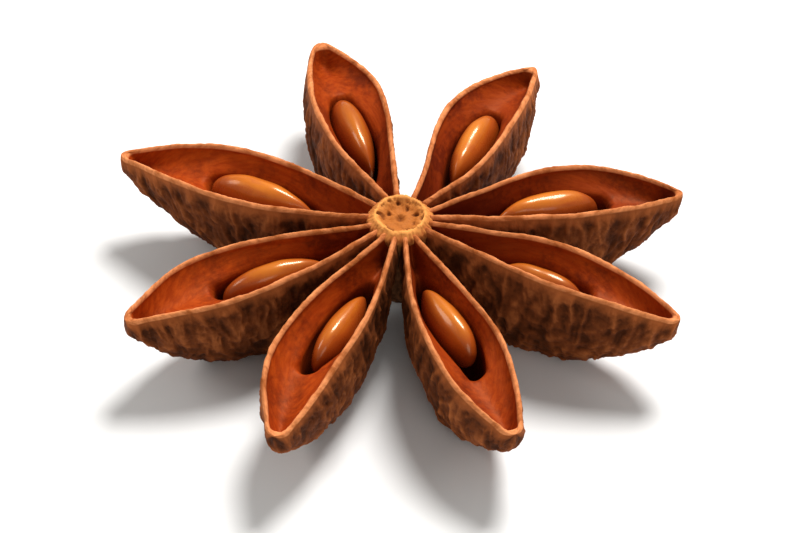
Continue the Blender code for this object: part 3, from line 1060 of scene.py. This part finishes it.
@dataclass(frozen=True)
class SeedFinish:
    """Hard glossy seed coat, amber brown with faint streaks, golden on its back as painted light and
    brown on its flanks as painted shade, and a dull pale hilum.
    """

    golden: Colour = (0.590, 0.170, 0.014)
    amber: Colour = (0.400, 0.076, 0.008)
    brown: Colour = (0.200, 0.028, 0.003)
    hilum: Colour = (0.480, 0.270, 0.130)
    gleam: Colour = (1.0, 0.72, 0.42)

    def material(self) -> Material:
        """Build the seed coat's material from its masks.

        Returns:
            The material.
        """
        material, net, shader = new_material("seed")
        place = net.add("TexCoord").outputs["Object"]
        patchy = net.group(mottle_group(), Vector=place, Blotch_Scale=380.0, Speck_Scale=1500.0)[0]
        fibre = net.group(streak_group(), Vector=net.flow(), Fineness=2.2)
        uneven = net.times(patchy, fibre["Mask"])
        # Painted light and shade: golden on the back, through amber, to brown on the flanks, broken by
        # blotchy streaks.
        back = net.math("SUBTRACT", net.mask("back"), net.times(uneven, 0.30))
        colour = net.mix(net.span(back, 0.0, 0.60), self.brown, self.amber)
        colour = net.mix(net.span(back, 0.60, 1.0), colour, self.golden)
        colour = net.mix(net.times(net.mask("tone"), 0.6), colour, self.brown)
        colour = net.mix(net.mask("hilum"), colour, self.hilum)
        net.fill(shader, Base_Color=colour, Roughness=net.span(patchy, 0.0, 1.0, 0.20, 0.34),
                 Specular_Tint=self.gleam, Coat_Weight=0.30, Coat_Roughness=0.07,
                 Normal=net.bump(fibre["Height"], 0.25, 0.04))
        return material


@dataclass(frozen=True)
class ColumnFinish:
    """Pale fibrous rim, orange dish with dark pits, and brown dry skin on the hub and stalk."""

    rim: Colour = (0.760, 0.310, 0.075)
    worn: Colour = (0.360, 0.095, 0.020)
    dish: Colour = (0.400, 0.120, 0.020)
    pits: Colour = (0.110, 0.022, 0.005)
    skin: Colour = (0.075, 0.024, 0.009)
    skin_pale: Colour = (0.270, 0.100, 0.038)
    gleam: Colour = (1.0, 0.60, 0.30)

    def material(self) -> Material:
        """Build the column's material from its masks.

        Returns:
            The material.
        """
        material, net, shader = new_material("column")
        place = net.add("TexCoord").outputs["Object"]
        patchy = net.group(mottle_group(), Vector=place, Blotch_Scale=900.0, Speck_Scale=4200.0)[0]
        relief = net.span(net.mask("relief"), 0.1, 0.7)
        side = net.mix(net.times(relief, 0.6), self.worn, self.rim)
        lower = net.mix(relief, self.skin, self.skin_pale)
        colour = net.mix(net.mask("low"), side, lower)
        colour = net.mix(net.times(net.mask("dish"), 0.85), colour, self.dish)
        crest = net.times(net.mask("rim"), net.span(patchy, 0.0, 0.6, 0.35, 1.0))
        colour = net.mix(crest, colour, self.rim)
        colour = net.mix(net.mask("pits"), colour, self.pits)
        grain = net.noise(place, 4200.0, Detail=4.0, Roughness=0.65)
        net.fill(shader, Base_Color=colour, Roughness=net.span(patchy, 0.0, 1.0, 0.55, 0.80),
                 Specular_IOR_Level=0.3, Specular_Tint=self.gleam,
                 Normal=net.bump(grain, 0.6, 0.06))
        return material


def new_material(name: str) -> tuple[Material, Nodes, bpy.types.Node]:
    """New node material, its nodes and its Principled shader."""
    material = bpy.data.materials.new(name)
    material.use_nodes = True
    return material, Nodes(material.node_tree), material.node_tree.nodes["Principled BSDF"]


# ---- studio
class Lamp(Enum):
    """Soft boxes of the studio: place in mm, width in mm, watts."""

    KEY = ((70.0, 130.0, 250.0), 120.0, 1.25)
    LEFT = ((-230.0, 40.0, 170.0), 140.0, 0.22)
    FRONT = ((80.0, -260.0, 150.0), 200.0, 0.18)


@dataclass(frozen=True)
class Studio:
    """Pale floor, soft boxes, even surrounding light and the camera."""

    floor_colour: Colour = (0.80, 0.79, 0.77)
    floor_half: float = 1500.0
    floor_gap: float = 0.02
    surround: float = 0.30
    surround_colour: Colour = (1.0, 0.99, 0.97)
    lens: float = 200.0
    elevation: float = 45.0
    frame_width: float = 46.5
    aim: Triple = (0.0, -0.89, 3.4)

    def floor(self) -> None:
        """Make the pale floor a hair below the keels."""
        half = self.floor_half * MM
        around = ((-half, -half), (half, -half), (half, half), (-half, half))
        corners = [(x, y, -self.floor_gap * MM) for x, y in around]
        mesh = bpy.data.meshes.new("floor")
        mesh.from_pydata(corners, [], [(0, 1, 2, 3)])
        material, net, shader = new_material("floor")
        net.fill(shader, Base_Color=self.floor_colour, Roughness=0.7)
        mesh.materials.append(material)
        new_object("floor", mesh)

    @staticmethod
    def hang(name: str, data: bpy.types.ID, place: Vector, aim: Vector) -> bpy.types.Object:
        """New lamp or camera at a place in mm, turned to what it looks at."""
        thing = new_object(name, data)
        thing.location = place * MM
        thing.rotation_euler = (aim - place).to_track_quat("-Z", "Y").to_euler()
        return thing

    def lights(self) -> None:
        """Hang the soft boxes, each turned to the pod, and set the surrounding light."""
        for lamp in Lamp:
            place, width, watts = lamp.value
            name = lamp.name.lower()
            data = bpy.data.lights.new(name, "AREA")
            data.shape = "DISK"
            data.size = width * MM
            data.energy = watts
            self.hang(name, data, Vector(place), Vector())
        world = bpy.data.worlds.new("surround")
        world.use_nodes = True
        Nodes(world.node_tree).fill(world.node_tree.nodes["Background"], Color=self.surround_colour,
                                    Strength=self.surround)
        bpy.context.scene.world = world

    def camera(self) -> None:
        """Place the camera in front of the pod, looking down at it."""
        data = bpy.data.cameras.new("camera")
        data.lens = self.lens
        data.clip_start, data.clip_end = 0.01, 20.0
        distance = self.frame_width * self.lens / data.sensor_width
        up = radians(self.elevation)
        aim = Vector(self.aim)
        place = aim + distance * Vector((0.0, -cos(up), sin(up)))
        bpy.context.scene.camera = self.hang("camera", data, place, aim)

    def build(self) -> None:
        """Set up the whole studio."""
        self.floor()
        self.lights()
        self.camera()
        bpy.context.scene.view_settings.view_transform = "Standard"


# ---- putting it together
@dataclass
class Pod:
    """The dressed pod: carpels, column and seeds."""

    carpels: tuple[Carpel, ...] = CARPELS
    column: Column = Column()

    def build(self) -> None:
        """Make every piece, give it its finish, and tie it to the frame."""
        husk, seed, core = (finish.material() for finish in (HuskFinish(), SeedFinish(), ColumnFinish()))
        for number, carpel in enumerate(self.carpels, start=1):
            self.settle(carpel.skin(number), f"carpel_{number}", husk, "husk", "husk")
            self.settle(carpel.seed_skin(number), f"seed_coat_{number}", seed, "seed", f"seed_{number}")
        self.settle(self.column.skin(), "column", core, "husk", "husk")

    @staticmethod
    def settle(skin: Skin, name: str, material: Material, slot: str, node: str) -> None:
        """Make one piece, dress it and let it stand for its solid.

        Args:
            skin: Its surface.
            name: Its name.
            material: Its finish.
            slot: Not used.
            node: Solid that it stands for.
        """
        piece = skin.make(name)
        piece.data.materials.append(material)
        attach(piece, "root")
        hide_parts(node)
        LOG.info("%s: %d faces", name, len(piece.data.polygons))


def main() -> None:
    """Load the frame, and build the pod and the studio."""
    logging.basicConfig(level=logging.INFO)
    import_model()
    Pod().build()
    Studio().build()


if __name__ == "__main__":
    main()
